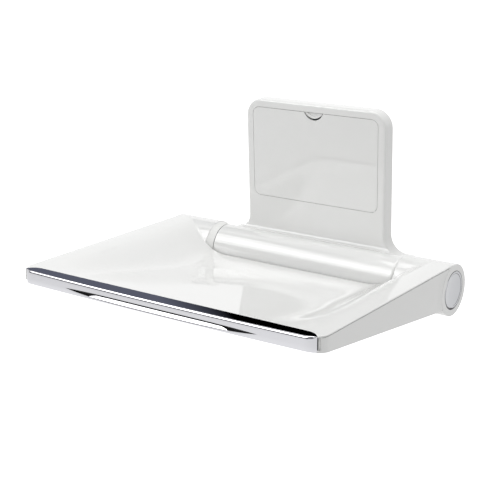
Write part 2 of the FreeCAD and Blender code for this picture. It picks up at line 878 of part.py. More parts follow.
def make_cap():
    """Dished disc with a snap skirt, turned about the hinge axis."""
    outer = end_ring_inner - running_clearance
    face = ring_face - cap_recess
    dish_radius = (outer ** 2 + cap_dish ** 2) / (2 * cap_dish)
    middle_drop = dish_radius - math.sqrt(dish_radius ** 2 - (outer / 2) ** 2)
    centre = V(face - cap_dish, 0, 0)
    rim = V(face, 0, outer)
    middle = V(face - cap_dish + middle_drop, 0, outer / 2)
    back = face - cap_thickness - cap_dish
    skirt_end = back - cap_skirt
    skirt_inner = outer - cap_skirt_wall
    section = loop(
        (centre, middle, rim),
        (rim, V(skirt_end, 0, outer)),
        (V(skirt_end, 0, outer), V(skirt_end, 0, skirt_inner)),
        (V(skirt_end, 0, skirt_inner), V(back, 0, skirt_inner)),
        (V(back, 0, skirt_inner), V(back, 0, 0)),
        (V(back, 0, 0), centre))
    return section.revolve(V(0, 0, 0), X_AXIS, 360)


def make_seat_screws():
    screws = []
    for x, forward in boss_places():
        head_top = underside(forward) + screw_counterbore
        head = rod_z(screw_head_radius, x, -forward, head_top - screw_head_height, head_top)
        shank = rod_z(screw_radius, x, -forward, head_top, head_top + boss_thread)
        screws.append(head.fuse(shank).removeSplitter())
    return group(screws)


def make_arm_screws():
    screws = []
    for side in (-1, 1):
        for forward in arm_screw_places():
            x = side * arm_screw_x
            seat = arm_screw_seat(forward)
            head = rod_z(screw_head_radius, x, -forward, seat - screw_head_height / 2, seat)
            shank = rod_z(screw_radius, x, -forward, seat, seat + cross_plate_thickness + arm_thread)
            screws.append(head.fuse(shank).removeSplitter())
    return group(screws)


def make_trim_screws():
    screws = []
    seat_y = -trim_rear + skin
    for x in trim_screw_columns:
        z = trim_screw_height()
        head = rod_y(screw_head_radius, x, z, seat_y, seat_y + trim_screw_head_height)
        shank = rod_y(screw_radius, x, z, seat_y - skin - trim_thread, seat_y)
        screws.append(head.fuse(shank).removeSplitter())
    return group(screws)


# Placing and writing
def on_wall(shape):
    shape = shape.copy()
    shape.translate(V(0, -hinge_to_wall, -hinge_below_fixings))
    return shape


def on_seat(shape):
    shape = shape.copy()
    shape.rotate(V(0, 0, 0), X_AXIS, -rest_tilt)
    return on_wall(shape)


def build():
    top, base = make_seat_shells()
    base = fused([base] + base_ribs())
    arm = make_arm()
    arm_key, lever_key = make_keys()
    fixed = {
        "wall_plate": make_wall_plate(),
        "bracket_housing": make_housing(),
        "housing_screws": make_housing_screws(),
        "hinge_bush_left": mirrored(make_bush()),
        "hinge_bush_right": make_bush(),
        "friction_washer_left": mirrored(make_friction_washer()),
        "friction_washer_right": make_friction_washer(),
        "stop_pad": make_stop_pad(),
        "access_cover": make_cover(),
        "cover_latch": make_latch(),
    }
    moving = {
        "seat_top": top,
        "seat_base": base,
        "front_trim": make_trim(),
        "cross_plate": make_cross_plate(),
        "arm_left": mirrored(arm),
        "arm_right": arm,
        "hinge_shaft": make_shaft(),
        "stop_lever": make_lever(),
        "shaft_keys": group([arm_key, mirrored(arm_key), lever_key]),
        "sleeve_left": mirrored(make_sleeve()),
        "sleeve_right": make_sleeve(),
        "end_washer_left": mirrored(make_end_washer()),
        "end_washer_right": make_end_washer(),
        "end_screws": group([make_end_screw(), mirrored(make_end_screw())]),
        "end_cap_left": mirrored(make_cap()),
        "end_cap_right": make_cap(),
        "seat_screws": make_seat_screws(),
        "arm_screws": make_arm_screws(),
        "trim_screws": make_trim_screws(),
    }
    parts = {name: on_wall(shape) for name, shape in fixed.items()}
    for name, shape in moving.items():
        parts[name] = on_seat(shape)
    return parts


def main():
    os.makedirs("parts", exist_ok=True)
    for name, shape in build().items():
        shape.exportStep("parts/" + name + ".step")
        print(name, "solids", len(shape.Solids), "valid", shape.isValid(), "volume", round(shape.Volume))


main()
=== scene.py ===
# Fold down wall seat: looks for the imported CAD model, seen as in the photograph.
import json
import math
from functools import cached_property

import bmesh
import bpy
import numpy as np
from mathutils import Matrix, Vector


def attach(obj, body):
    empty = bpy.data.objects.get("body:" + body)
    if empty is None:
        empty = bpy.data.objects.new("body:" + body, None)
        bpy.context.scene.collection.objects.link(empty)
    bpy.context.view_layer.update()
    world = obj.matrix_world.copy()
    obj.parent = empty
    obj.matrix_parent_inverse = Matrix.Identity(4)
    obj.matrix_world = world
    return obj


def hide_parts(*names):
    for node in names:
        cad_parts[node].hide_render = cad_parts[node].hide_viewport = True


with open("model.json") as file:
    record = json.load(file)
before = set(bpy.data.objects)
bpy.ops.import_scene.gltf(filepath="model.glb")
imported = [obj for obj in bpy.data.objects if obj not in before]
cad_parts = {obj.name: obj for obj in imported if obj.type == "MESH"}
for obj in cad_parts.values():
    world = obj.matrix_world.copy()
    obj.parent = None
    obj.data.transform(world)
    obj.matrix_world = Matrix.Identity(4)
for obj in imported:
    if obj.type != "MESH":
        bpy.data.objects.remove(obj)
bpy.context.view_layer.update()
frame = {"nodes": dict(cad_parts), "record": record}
print("frame loaded:", len(frame["nodes"]), "nodes")

scene = bpy.context.scene
scene.view_settings.view_transform = "Standard"


# Camera, as fitted to the photograph's outline: place in metres, turns in degrees, lens in mm
camera = {
    "place": (0.7430, -1.2111, 0.3496),
    "azimuth": 35.218,
    "elevation": 18.358,
    "roll": -1.404,
    "lens": 84.46,
    "sensor": 36.0,
    "clipStart": 0.01,
}


# Camera from its place and turns: it looks along forward, and roll turns right and up about that
def makeCamera(values):
    azimuth = math.radians(values["azimuth"])
    elevation = math.radians(values["elevation"])
    roll = math.radians(values["roll"])
    forward = Vector((-math.sin(azimuth) * math.cos(elevation),
                      math.cos(azimuth) * math.cos(elevation), -math.sin(elevation)))
    level = Vector((math.cos(azimuth), math.sin(azimuth), 0))
    raised = level.cross(forward)
    right = level * math.cos(roll) + raised * math.sin(roll)
    up = raised * math.cos(roll) - level * math.sin(roll)
    data = bpy.data.cameras.new("photoCamera")
    data.sensor_width = values["sensor"]
    data.lens = values["lens"]
    data.clip_start = values["clipStart"]
    cam = bpy.data.objects.new("photoCamera", data)
    turn = Matrix((right, up, -forward)).transposed().to_4x4()
    cam.matrix_world = Matrix.Translation(Vector(values["place"])) @ turn
    scene.collection.objects.link(cam)
    scene.camera = cam


makeCamera(camera)
print("camera placed")


# Shader maths as Python expressions
class Field:
    def __init__(self, tree, socket):
        self.tree = tree
        self.socket = socket

    def maths(self, operation, other, flip=False):
        node = self.tree.nodes.new("ShaderNodeMath")
        node.operation = operation
        values = [other, self] if flip else [self, other]
        for slot, value in zip(node.inputs, values):
            if isinstance(value, Field):
                self.tree.links.new(value.socket, slot)
            else:
                slot.default_value = value
        return Field(self.tree, node.outputs[0])

    def __add__(self, other):
        return self.maths("ADD", other)

    def __radd__(self, other):
        return self.maths("ADD", other, True)

    def __sub__(self, other):
        return self.maths("SUBTRACT", other)

    def __mul__(self, other):
        return self.maths("MULTIPLY", other)

    def __rmul__(self, other):
        return self.maths("MULTIPLY", other, True)


# The node tree of a material or of the world, with one method that adds any node
class Finish:
    def __init__(self, owner, shader="Principled BSDF"):
        owner.use_nodes = True
        self.owner = owner
        self.tree = owner.node_tree
        self.shader = self.tree.nodes[shader]

    @cached_property
    def coords(self):
        return self.add("ShaderNodeTexCoord").outputs["Object"]

    def add(self, kind, settings=None, **values):
        node = self.tree.nodes.new(kind)
        for key, value in (settings or {}).items():
            setattr(node, key, value)
        for key, value in values.items():
            self.put(node.inputs[key.replace("_", " ")], value)
        return node

    def put(self, socket, value):
        if isinstance(value, Field):
            self.tree.links.new(value.socket, socket)
        elif isinstance(value, bpy.types.NodeSocket):
            self.tree.links.new(value, socket)
        else:
            socket.default_value = value

    def field(self, socket):
        return Field(self.tree, socket)

    def set(self, **values):
        for key, value in values.items():
            self.put(self.shader.inputs[key.replace("_", " ")], value)

    def surface(self, shader):
        self.put(self.tree.nodes["Material Output"].inputs["Surface"], shader)


# Places of the colour sockets on a mix node, whose names repeat
mixSockets = {"factor": 0, "first": 6, "second": 7, "result": 2}


def colourMix(finish, factor, first, second):
    node = finish.add("ShaderNodeMix", {"data_type": "RGBA"})
    for name, value in (("factor", factor), ("first", first), ("second", second)):
        finish.put(node.inputs[mixSockets[name]], value)
    return node.outputs[mixSockets["result"]]


def noise(finish, scale, detail=2.0, roughness=0.5, vector=None):
    place = finish.coords if vector is None else vector
    node = finish.add("ShaderNodeTexNoise", {"noise_dimensions": "3D"}, Vector=place,
                      Scale=scale, Detail=detail, Roughness=roughness)
    return finish.field(node.outputs["Fac"])


# Looks of the finishes: linear colours, noise scales per metre, bump distances in metres.
# A roughness is multiplied by least + share * noise.
glossWhite = {"colour": (0.86, 0.865, 0.86, 1), "warm": (0.84, 0.84, 0.825, 1),
              "roughness": 0.045, "coat": 0.35, "ripple": 0.0006}
satinWhite = {"colour": (0.80, 0.81, 0.84, 1), "warm": (0.78, 0.79, 0.82, 1),
              "roughness": 0.22, "coat": 0.1, "ripple": 0.001}
mattWhite = {"colour": (0.86, 0.865, 0.85, 1), "warm": (0.84, 0.84, 0.825, 1),
             "roughness": 0.6, "coat": 0.0, "ripple": 0.001}
plasticGrain = {"driftScale": 9.0, "driftDetail": 3.0, "fineScale": 420.0, "least": 0.85,
                "share": 0.3, "coatRoughness": 0.02, "refraction": 1.49, "rippleScale": 26.0,
                "rippleDetail": 1.0, "rippleStrength": 0.05}
chromeLook = {"colour": (0.63, 0.63, 0.655, 1), "roughness": 0.03, "lean": 0.16,
              "peel": 0.000016, "peelScale": 90.0, "peelDetail": 1.0,
              "wipeScale": (14.0, 240.0, 240.0), "wipeDetail": 3.0, "least": 0.6, "share": 0.8}
steelLook = {"colour": (0.55, 0.56, 0.57, 1), "roughness": 0.34}
castLook = {"colour": (0.6, 0.61, 0.62, 1), "roughness": 0.5}
metalGrain = {"cloudScale": 30.0, "cloudDetail": 4.0, "fineDetail": 5.0, "fineRoughness": 0.7,
              "dark": 0.82, "bump": 0.25, "distance": 0.0002, "least": 0.7, "share": 0.6}
bushLook = {"colour": (0.05, 0.05, 0.055, 1), "roughness": 0.45}
rubberLook = {"colour": (0.02, 0.02, 0.02, 1), "roughness": 0.75}
dullGrain = {"fineDetail": 3.0, "light": 1.5, "bump": 0.2, "distance": 0.0001, "least": 0.8,
             "share": 0.4}


# Roughness that a fine noise varies about the look's own value
def variedRoughness(look, grain, marks):
    return look["roughness"] * (grain["least"] + grain["share"] * marks)


# The look's colour made darker or lighter by one factor
def shaded(look, factor):
    return [part * factor for part in look["colour"][:3]] + [1]


# Moulded gloss: a faint warm and cool drift, a slow ripple in the skin and fine roughness marks
def plasticFinish(name, look):
    finish = Finish(bpy.data.materials.new(name))
    grain = plasticGrain
    drift = noise(finish, grain["driftScale"], grain["driftDetail"])
    fine = noise(finish, grain["fineScale"])
    finish.set(Base_Color=colourMix(finish, drift, look["colour"], look["warm"]),
               Roughness=variedRoughness(look, grain, fine), Coat_Weight=look["coat"],
               Coat_Roughness=grain["coatRoughness"], IOR=grain["refraction"])
    ripple = noise(finish, grain["rippleScale"], grain["rippleDetail"])
    bump = finish.add("ShaderNodeBump", Strength=grain["rippleStrength"],
                      Distance=look["ripple"], Height=ripple)
    finish.set(Normal=bump.outputs["Normal"])
    return finish.owner


# Plated plastic: mirror bright with a trace of orange peel and faint wiping marks. Its level top
# mirrors as though it leant forwards a little, so that it shows the dark end of the room and not
# the sky: the bump's height is the peel plus lean times the distance from the wall.
def chromeFinish(name, look):
    finish = Finish(bpy.data.materials.new(name))
    wipe = finish.add("ShaderNodeMapping", Vector=finish.coords, Scale=look["wipeScale"])
    marks = noise(finish, 1.0, look["wipeDetail"], vector=wipe.outputs["Vector"])
    peel = noise(finish, look["peelScale"], look["peelDetail"])
    apart = finish.add("ShaderNodeSeparateXYZ", Vector=finish.coords)
    height = peel * look["peel"] + finish.field(apart.outputs["Y"]) * look["lean"]
    bump = finish.add("ShaderNodeBump", Strength=1.0, Distance=1.0, Height=height)
    finish.set(Base_Color=look["colour"], Metallic=1.0,
               Roughness=variedRoughness(look, look, marks), Normal=bump.outputs["Normal"])
    return finish.owner


# Plated or cast steel: grain in roughness and height, with a cloudy colour drift
def metalFinish(name, look, scale):
    finish = Finish(bpy.data.materials.new(name))
    grain = metalGrain
    cloud = noise(finish, grain["cloudScale"], grain["cloudDetail"])
    fine = noise(finish, scale, grain["fineDetail"], grain["fineRoughness"])
    bump = finish.add("ShaderNodeBump", Strength=grain["bump"], Distance=grain["distance"],
                      Height=fine)
    dark = shaded(look, grain["dark"])
    finish.set(Base_Color=colourMix(finish, cloud, look["colour"], dark), Metallic=1.0,
               Roughness=variedRoughness(look, grain, fine), Normal=bump.outputs["Normal"])
    return finish.owner


# Bush plastic or rubber: matt with a fine moulded grain
def dullFinish(name, look, scale):
    finish = Finish(bpy.data.materials.new(name))
    grain = dullGrain
    fine = noise(finish, scale, grain["fineDetail"])
    bump = finish.add("ShaderNodeBump", Strength=grain["bump"], Distance=grain["distance"],
                      Height=fine)
    light = shaded(look, grain["light"])
    finish.set(Base_Color=colourMix(finish, fine, look["colour"], light),
               Roughness=variedRoughness(look, grain, fine), Normal=bump.outputs["Normal"])
    return finish.owner


materials = {
    "white_shell": plasticFinish("shellWhite", glossWhite),
    "white_seat": plasticFinish("seatWhite", glossWhite),
    "white_cap": plasticFinish("capWhite", satinWhite),
    "white_collar": plasticFinish("collarWhite", mattWhite),
    "chrome_trim": chromeFinish("trimChrome", chromeLook),
    "zinc_steel": metalFinish("plateZinc", steelLook, 160.0),
    "cast_arm": metalFinish("armCast", castLook, 90.0),
    "screw_steel": metalFinish("screwSteel", steelLook, 300.0),
    "bush_polymer": dullFinish("bushDark", bushLook, 500.0),
    "pad_rubber": dullFinish("padRubber", rubberLook, 300.0),
}
nodeMerge = 0.00001


# Every CAD node gets its finish, with points that coincide welded and weighted normals
def dressNodes():
    slotOf = {entry["node"]: entry["material_slot"] for entry in frame["record"]["subparts"]}
    for name, node in frame["nodes"].items():
        node.data.materials.clear()
        node.data.materials.append(materials[slotOf[name]])
        weld = node.modifiers.new("weld", "WELD")
        weld.merge_threshold = nodeMerge
        smooth = node.modifiers.new("weights", "WEIGHTED_NORMAL")
        smooth.keep_sharp = True


dressNodes()
print("finishes made:", len(materials))


# One millimetre in metres: all pieces below are sized in millimetres
millimetre = 0.001

# Seat: hinge line, rim, outline and trim line. Lengths run along the seat from the hinge line
# and above it, angles are in degrees. The trim's rear line ends in an arc of radius trimBend.
seat = {
    "hingePlace": (0.0, -36.0, -128.0),
    "tilt": 2.4,
    "half": 200.0,
    "rim": 31.0,
    "reach": 299.0,
    "bow": 3.0,
    "corner": 18.0,
    "trimRear": 282.0,
    "trimEnd": 194.5,
    "trimBend": 19.0,
    "trimTurn": 60.0,
    "trimBendMost": 0.999,
    "underSlope": 0.12207,
    "underRear": -21.5,
}


# Seat coordinates (across, forward, up) to the frame: tilted about the hinge line, moved to it
def toFrame(across, forward, up):
    tilt = math.radians(seat["tilt"])
    place = seat["hingePlace"]
    y = -forward * math.cos(tilt) + up * math.sin(tilt) + place[1]
    z = up * math.cos(tilt) + forward * math.sin(tilt) + place[2]
    return np.stack([across + place[0], y, z], axis=-1) * millimetre


# Circles about the hinge line, by place across, radius and turn from the front upwards
def turned(place, radius, turn):
    across = place * np.ones_like(radius * turn)
    return toFrame(across, radius * np.cos(turn), radius * np.sin(turn))


# A column of numbers, which spreads against a row into a grid
def columnOf(*values):
    return np.concatenate([np.atleast_1d(value) for value in values])[:, None]


# The underside's height at a distance forward
def underside(forward):
    return seat["underRear"] + seat["underSlope"] * forward


# Faces of a grid of rows by columns, row after row, wound one way
def gridFaces(rows, columns, first=0, flip=False):
    index = np.arange(rows * columns).reshape(rows, columns) + first
    a, b, c, d = index[:-1, :-1], index[:-1, 1:], index[1:, 1:], index[1:, :-1]
    corners = (d, c, b, a) if flip else (a, b, c, d)
    return np.stack(corners, axis=-1).reshape(-1, 4)


# One mesh object on the seat from several grids of points, each with its winding, welded where
# they meet. Edges sharper than the angle in degrees stay crisp.
def seatPiece(name, grids, slot, material=None, merge=0.00002, sharp=40.0):
    points, faces, count = [], [], 0
    for grid, flip in grids:
        rows, columns = grid.shape[:2]
        points.append(grid.reshape(-1, 3))
        faces.append(gridFaces(rows, columns, count, flip))
        count += rows * columns
    mesh = bpy.data.meshes.new(name)
    mesh.from_pydata(np.concatenate(points).tolist(), [], np.concatenate(faces).tolist())
    form = bmesh.new()
    form.from_mesh(mesh)
    bmesh.ops.remove_doubles(form, verts=form.verts, dist=merge)
    bmesh.ops.dissolve_degenerate(form, edges=form.edges, dist=merge)
    form.to_mesh(mesh)
    form.free()
    mesh.shade_smooth()
    mesh.set_sharp_from_angle(angle=math.radians(sharp))
    mesh.materials.append(materials[material or slot])
    piece = bpy.data.objects.new(name, mesh)
    scene.collection.objects.link(piece)
    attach(piece, "seat")
    return piece


# Thickness grown inwards from the face
def wall(piece, thickness):
    solid = piece.modifiers.new("wall", "SOLIDIFY")
    solid.thickness = thickness * millimetre
    solid.offset = -1.0
    solid.use_even_offset = False


# Steps from 0 to 1 with a level slope at both ends; the soft one has no curvature there either
def easeSoft(t):
    t = np.clip(t, 0.0, 1.0)
    return t ** 3 * (t * (6 * t - 15) + 10)


def easePlain(t):
    t = np.clip(t, 0.0, 1.0)
    return t * t * (3 - 2 * t)


# Values from low to high that crowd towards both ends of the range
def crowded(low, high, count, power):
    t = np.linspace(0, 1, count)
    return low + (high - low) * ((1 - power) * t + power * (1 - np.cos(math.pi * t)) / 2)


# Front outline from above: a bowed front, then a round corner
def outlineForward(across):
    side = np.abs(across)
    straight = seat["half"] - seat["corner"]
    level = seat["reach"] - seat["bow"]
    bowed = level + seat["bow"] * (1 - (side / straight) ** 2)
    beyond = np.clip(side - straight, 0, seat["corner"])
    dropped = np.sqrt(np.clip(seat["corner"] ** 2 - beyond ** 2, 0, None))
    return np.where(side <= straight, bowed, level - seat["corner"] + dropped)


# Rear line of the trim: straight, then an arc that runs out to the outline
def trimLine(across):
    bend = seat["trimBend"]
    start = seat["trimEnd"] - bend * math.sin(math.radians(seat["trimTurn"]))
    beyond = np.clip(np.abs(across) - start, 0, bend * seat["trimBendMost"])
    return seat["trimRear"] + bend - np.sqrt(bend ** 2 - beyond ** 2)


# Top shell of the seat. Floor and rim lines are distances from the middle, at the rear and at
# the trim; the counts say how many rows or columns a part of the sheet has.
shell = {
    "rearHeight": -1.8,
    "rearSlope": 0.05,
    "turnMiddle": 70.0,
    "turnSpread": 40.0,
    "spreadHalf": 130.0,
    "turnEase": 1.0,
    "hollow": 0.32,
    "floorRear": 98.0,
    "floorFront": 118.0,
    "floorStart": 0.25,
    "floorRun": 0.5,
    "rimRear": 188.0,
    "rimFront": 198.5,
    "channel": 30.0,
    "channelLow": -36.0,
    "lip": 1.0,
    "knuckleFace": 135.5,
    "ringSide": 196.5,
    "ringClear": 8.0,
    "faceRound": 1.5,
    "edgeRound": 1.2,
    "tipGap": 0.7,
    "tipMeet": 0.1,
    "footLeast": 0.4,
    "footRadius": 11.0,
    "footFade": 22.0,
    "footTries": 8,
    "wall": 2.0,
    "arcShare": 0.55,
    "channelShare": 0.7,
    "rearRows": 44,
    "dishRows": 120,
    "dishCrowd": 0.35,
    "faceColumns": 60,
    "faceCrowd": 1.0,
    "faceStep": 0.8,
    "middleColumns": 120,
    "roundColumns": 7,
    "edgeColumns": 6,
    "ringStep": 0.05,
    "rimStart": 197.5,
}


# Dish without its sides: a gently rising rear floor that turns, on a line arched across the
# seat, into a hollow slope up to the rim. The turn is eased by the root of a square plus a square.
def dishFloor(across, forward):
    v = shell
    reach = np.sin(np.radians(90) * np.minimum(np.abs(across) / v["spreadHalf"], 1)) ** 2
    turn = v["turnMiddle"] + v["turnSpread"] * reach
    rear = v["rearHeight"] + v["rearSlope"] * (forward - v["channel"])
    rearEnd = v["rearHeight"] + v["rearSlope"] * (seat["trimRear"] - v["channel"])
    rise = seat["rim"] - rearEnd
    share = (forward - turn) / (seat["trimRear"] - turn)
    bent = share + v["hollow"] * (share ** 2 - share)
    above = rise * np.where(share > 0, bent, share * (1 - v["hollow"]))
    return rear + (above + np.sqrt(above ** 2 + v["turnEase"] ** 2)) / 2


# Dish with its sides: the floor eases up to the level rim between two lines that spread
# towards the front
def dishHeight(across, forward):
    v = shell
    share = (forward - v["channel"]) / (seat["trimRear"] - v["channel"])
    spread = easePlain((share - v["floorStart"]) / v["floorRun"])
    start = v["floorRear"] + (v["floorFront"] - v["floorRear"]) * spread
    end = v["rimRear"] + (v["rimFront"] - v["rimRear"]) * np.clip(share, 0, 1)
    floor = dishFloor(across, forward)
    rise = (seat["rim"] - floor) * easeSoft((np.abs(across) - start) / (end - start))
    return np.minimum(floor + rise, seat["rim"])


# Drop of the rounded outer edge, from the distance to the side or corner of the outline
def edgeDrop(across, forward):
    side = np.abs(across)
    straight = seat["half"] - seat["corner"]
    level = seat["reach"] - seat["bow"] - seat["corner"]
    inCorner = (side > straight) & (forward > level)
    fromCentre = np.hypot(np.clip(side - straight, 0, None), np.clip(forward - level, 0, None))
    gap = np.where(inCorner, seat["corner"] - fromCentre, seat["half"] - side)
    r = shell["edgeRound"]
    inside = np.clip(r - gap, 0, r)
    return r - np.sqrt(np.clip(r * r - inside ** 2, 0, None))


# Rear of the profile at a knuckle: an arc about the hinge line, then a concave foot whose circle
# touches the arc and the dish
def knuckleRows(t, radius, foot, place, low):
    share = shell["arcShare"]
    touch = np.arctan2(low + foot, place)    # angle of the foot's centre, seen from the hinge line
    turn = math.pi - (math.pi - touch) * np.clip(t / share, 0, 1)
    toFoot = np.clip((t - share) / (1 - share), 0, 1)
    spin = (touch + math.pi) + (1.5 * math.pi - touch - math.pi) * toFoot
    forward = np.where(t <= share, radius * np.cos(turn), place + foot * np.cos(spin))
    up = np.where(t <= share, radius * np.sin(turn), low + foot + foot * np.sin(spin))
    return forward, up


# Rear of the profile between the knuckles: the wall of the channel that clears the barrel, which
# stops short of the dish and then rounds over
def channelRows(t, place, low):
    v = shell
    share = v["channelShare"]
    bottom = math.radians(v["channelLow"])
    edge = np.arctan2(low - v["lip"], place)
    sweep = bottom + (edge - bottom) * np.clip(t / share, 0, 1)
    over = np.clip((t - share) / (1 - share), 0, 1) * math.pi / 2
    edgeForward, edgeUp = v["channel"] * np.cos(edge), v["channel"] * np.sin(edge)
    forward = np.where(t <= share, v["channel"] * np.cos(sweep),
                       edgeForward + (place - edgeForward) * (1 - np.cos(over)))
    up = np.where(t <= share, v["channel"] * np.sin(sweep),
                  edgeUp + (low - edgeUp) * np.sin(over))
    return forward, up


# Profiles of the shell at each place across: the rear, then the dish up to the trim's line or
# the outline
def shellGrid(across, knuckle):
    v = shell
    side = np.abs(across)[:, None]
    inward = np.clip(side - v["knuckleFace"], 0, None)
    radius = seat["rim"] * np.ones_like(side)
    if across[0] > 0:                        # the right knuckle's face has a rounded edge
        short = np.clip(v["faceRound"] - inward, 0, v["faceRound"])
        radius = seat["rim"] - v["faceRound"] + np.sqrt(v["faceRound"] ** 2 - short ** 2)
    foot = v["footLeast"] + v["footRadius"] * easePlain(inward / v["footFade"])
    low = dishHeight(side, seat["rim"] * np.ones_like(side))
    for attempt in range(v["footTries"]):    # the foot's place and the dish there, by turns
        place = np.sqrt(np.clip((seat["rim"] + foot) ** 2 - (low + foot) ** 2, 0, None))
        low = dishHeight(side, place)
    t = np.linspace(0, 1, v["rearRows"])[None, :]
    if knuckle:
        rearForward, rearUp = knuckleRows(t, radius, foot, place, low)
    else:
        rearForward, rearUp = channelRows(t, place, low)
    atTrim = side < seat["trimEnd"] - v["tipMeet"]
    end = np.where(atTrim, trimLine(side), outlineForward(side))
    end = np.minimum(end, outlineForward(side))
    s = crowded(0, 1, v["dishRows"], v["dishCrowd"])[None, :]
    dishForward = place + (end - place) * s
    dishUp = dishHeight(side * np.ones_like(s), dishForward)
    forward = np.concatenate([rearForward, dishForward], axis=1)
    up = np.concatenate([rearUp, dishUp], axis=1)

    # Outside the end rings the shell starts in front of them, level with the rim
    column = across[:, None] * np.ones_like(forward)
    outside = np.abs(column) > v["ringSide"]
    inRear = np.arange(forward.shape[1])[None, :] < v["rearRows"]
    collapsed = outside & (inRear | (forward < v["ringClear"]))
    up = np.where(collapsed, seat["rim"], up)
    forward = np.where(collapsed, v["ringClear"], forward)
    up = up - edgeDrop(column, forward) * (~inRear | outside)
    return toFrame(column, forward, up)


# Strip that closes the shell's front corner beside the trim's tip, down to the base's floor
strip = {"columns": 8, "past": 0.1, "behind": (284.0, 287.0, 290.0), "floor": 2.9}


def cornerStrip(side):
    start = seat["trimEnd"] + shell["tipGap"]
    front = np.linspace(start, shell["ringSide"] + strip["past"], strip["columns"])
    across = np.concatenate([[start] * len(strip["behind"]), front])
    forward = np.concatenate([strip["behind"], outlineForward(front)])
    top = np.full_like(forward, seat["rim"] - shell["edgeRound"])
    up = np.stack([top, underside(forward) + strip["floor"]])
    return toFrame(side * np.stack([across] * 2), np.stack([forward] * 2), up)


# The shell's columns run from each knuckle's rounded face over its ring to the rounded rim; the
# middle is a grid of its own
def makeShell():
    v = shell
    edge = np.radians(np.linspace(90, 0, v["edgeColumns"]))
    rim = seat["half"] - v["edgeRound"] * (1 - np.sin(edge))
    bend = np.radians(np.linspace(0, 90, v["roundColumns"]))
    rounded = v["knuckleFace"] + v["faceRound"] * (1 - np.cos(bend))
    face = crowded(rounded[-1] + v["faceStep"], v["ringSide"], v["faceColumns"], v["faceCrowd"])
    right = np.concatenate([rounded, face, [v["ringSide"] + v["ringStep"], v["rimStart"]], rim])
    right = np.unique(np.round(right, 4))
    middle = np.linspace(-v["knuckleFace"], v["knuckleFace"], v["middleColumns"])
    grids = [(shellGrid(right, True), False), (shellGrid(-right[::-1], True), False),
             (shellGrid(middle, False), False), (cornerStrip(1), True),
             (cornerStrip(-1), False)]
    piece = seatPiece("seatShell", grids, "white_seat")
    wall(piece, v["wall"])
    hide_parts("seat_top")


makeShell()
print("seat shell made")


# Collar of the left knuckle, a cove that narrows to the barrel's end, with its end face; a dark
# ring on that face, painted shade seen as a fine shadow line beside the barrel; and the right
# knuckle's white end face behind the barrel's rounded end. Places are distances from the middle.
collar = {
    "root": 135.5,
    "face": 125.5,
    "step": 0.7,
    "small": 28.5,
    "hub": 14.0,
    "low": -14.0,
    "columns": 90,
    "rows": 12,
    "cove": 1.5,
    "endStep": 0.6,
    "endInset": 0.3,
    "wall": 1.5,
    "shadeRingDepth": 5.0,
    "shadeRingInset": 0.45,
    "shadeRingOut": 0.1,
    "shadeRingWall": 0.3,
    "faceOut": 0.1,
    "facePast": 0.2,
    "faceWall": 1.0,
    "sharp": 30.0,
}


# Radius of the cove: small plus the step down from the knuckle, times (1 - share) to a power
def makeCollar():
    v = collar
    along = np.linspace(0, 1, v["rows"])
    step = seat["rim"] - v["step"] - v["small"]
    cove = v["small"] + step * (1 - along) ** v["cove"]
    places = columnOf(v["root"], v["root"] - (v["root"] - v["face"]) * along, v["face"],
                      v["face"] + v["endInset"])
    radius = columnOf(v["hub"], cove, v["small"] - v["endStep"], v["hub"])
    turn = np.radians(np.linspace(180, v["low"], v["columns"]))[None, :]
    piece = seatPiece("leftCollar", [(turned(-places, radius, turn), False)], "white_seat",
                      "white_collar", sharp=v["sharp"])
    wall(piece, v["wall"])

    turn = np.radians(np.linspace(v["low"], 180, v["columns"]))[None, :]
    # Painted shade: a dark ring on the collar's end face that stands in for the shadow in the gap
    radius = columnOf(v["small"] - v["shadeRingDepth"], v["small"] - v["shadeRingInset"])
    points = turned(-(v["face"] - v["shadeRingOut"]), radius, turn)
    shadeRingPiece = seatPiece("collarSeal", [(points, False)], "bush_polymer")
    wall(shadeRingPiece, v["shadeRingWall"])

    radius = columnOf(v["hub"], seat["rim"] - shell["faceRound"] + v["facePast"])
    points = turned(v["root"] + v["faceOut"], radius, turn)
    face = seatPiece("rightFace", [(points, True)], "white_seat")
    wall(face, v["faceWall"])


makeCollar()
print("collar made")


# Front trim: a section carried along the outline from tip to tip
trim = {
    "tipGap": 0.05,
    "tipDepth": 0.02,
    "topSlope": 0.02,
    "crown": 0.4,
    "crownSpan": 17.0,
    "topRound": 3.0,
    "roundMost": 0.45,
    "lowRound": 0.9,
    "footDrop": 0.5,
    "footShare": 0.3,
    "gripHalf": 128.5,
    "gripFull": 4,
    "gripTop": 23.2,
    "gripLow": 17.0,
    "gripTip": 21.3,
    "rampHalf": 93.0,
    "rampEase": 22.0,
    "rampRise": 0.6,
    "rampDepth": 6.5,
    "rampMost": 0.5,
    "rampLean": 0.8,
    "rampStep": 0.12,
    "slot": 0.9,
    "stations": 260,
    "stationCrowd": 0.6,
    "topRows": 14,
    "roundRows": 14,
    "faceRows": 5,
    "rampRows": 9,
    "sharp": 32.0,
}
# How finely a plan line is measured, and where and how finely its tip is looked for
search = {"points": 6001, "from": 180.0, "tries": 4000}


# Places evenly spaced along a plan line, crowded towards its two tips
def alongLine(line, tip):
    across = np.linspace(-tip, tip, search["points"])
    forward = line(across)
    steps = np.hypot(np.diff(across), np.diff(forward))
    run = np.concatenate([[0], np.cumsum(steps)])
    wanted = crowded(0, run[-1], trim["stations"], trim["stationCrowd"])
    x = np.interp(wanted, run, across)
    return x, line(x)


